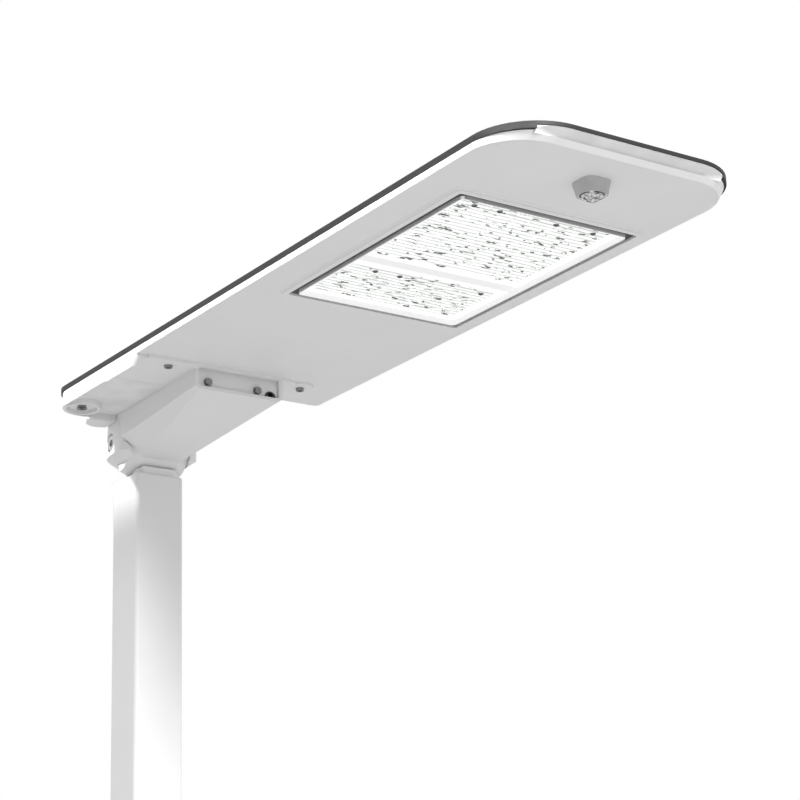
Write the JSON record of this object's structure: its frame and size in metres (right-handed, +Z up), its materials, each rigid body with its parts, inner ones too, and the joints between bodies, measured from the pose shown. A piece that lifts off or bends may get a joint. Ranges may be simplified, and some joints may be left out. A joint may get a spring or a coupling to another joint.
{
  "type": "solar street lamp",
  "caption": "Slim flat solar luminaire with a panel on top, LED window and motion sensor below, on a wedge bracket that tilts at the top of a square pole.",
  "frame": {"origin": "pole axis at the lower end of the pole section", "axes": "+Z up along the pole, +X towards the nose of the luminaire, +Y to the left seen from the pole"},
  "size_m": [1.237, 0.355, 0.6772],
  "materials": {
    "tray_paint": "white powder coat",
    "rim_paint": "white powder coat",
    "bracket_paint": "white powder coat on a casting",
    "coupler_paint": "white powder coat on a casting",
    "pole_paint": "white powder coat",
    "cover_plastic": "fine texture",
    "frame_black": "black anodised",
    "nose_white": "satin",
    "panel_glass": "clear",
    "backsheet_black": "matte",
    "solar_cell": "satin",
    "gasket_rubber": "matte",
    "module_white": "white powder coat",
    "lens_clear": "clear",
    "led_board": "white solder mask",
    "led_chip": "phosphor",
    "screw_steel": "dark steel",
    "spreader_alu": "plain",
    "sensor_housing": "satin",
    "sensor_clear": "clear",
    "circuit_board": "green solder mask",
    "component_black": "matte",
    "terminal_green": "matte",
    "standoff_nylon": "matte",
    "battery_wrap": "shrink wrap",
    "pad_foam": "foam",
    "strap_alu": "plain",
    "pivot_steel": "zinc plated",
    "grommet_rubber": "matte"
  },
  "bodies": {
    "mast": {"pole_top_section": "pole_paint", "coupler": "coupler_paint", "pole_screws": "screw_steel", "pivot_bolt": "pivot_steel", "pivot_nut": "pivot_steel", "pivot_washers": "pivot_steel"},
    "head": {"tilt_bracket": "bracket_paint", "front_plate": "bracket_paint", "front_bolts": "screw_steel", "wire_grommet": "grommet_rubber", "flange_screws": "screw_steel", "rear_cover": "cover_plastic", "rear_cover_screw": "screw_steel", "tray": "tray_paint", "side_rim": "rim_paint", "nose_cap": "nose_white", "panel_frame": "frame_black", "panel_glass": "panel_glass", "panel_backsheet": "backsheet_black", "solar_cells": "solar_cell", "window_gasket": "gasket_rubber", "led_module_frame": "module_white", "lens_plate_rear": "lens_clear", "lens_plate_front": "lens_clear", "lens_screws": "screw_steel", "led_board_rear": "led_board", "led_board_front": "led_board", "leds_rear": "led_chip", "leds_front": "led_chip", "heat_spreader": "spreader_alu", "sensor_boss": "sensor_housing", "sensor_lens": "sensor_clear", "sensor_board": "circuit_board", "battery_cells": "battery_wrap", "battery_pad": "pad_foam", "battery_straps": "strap_alu", "controller_board": "circuit_board", "controller_parts": "component_black", "terminal_block": "terminal_green", "controller_standoffs": "standoff_nylon"}
  },
  "joints": [
    {"name": "tilt", "type": "hinge", "parent": "mast", "child": "head", "pos_m": [0, 0, 0.617], "axis": [0, -1, 0], "range_deg": [0, 15]}
  ]
}
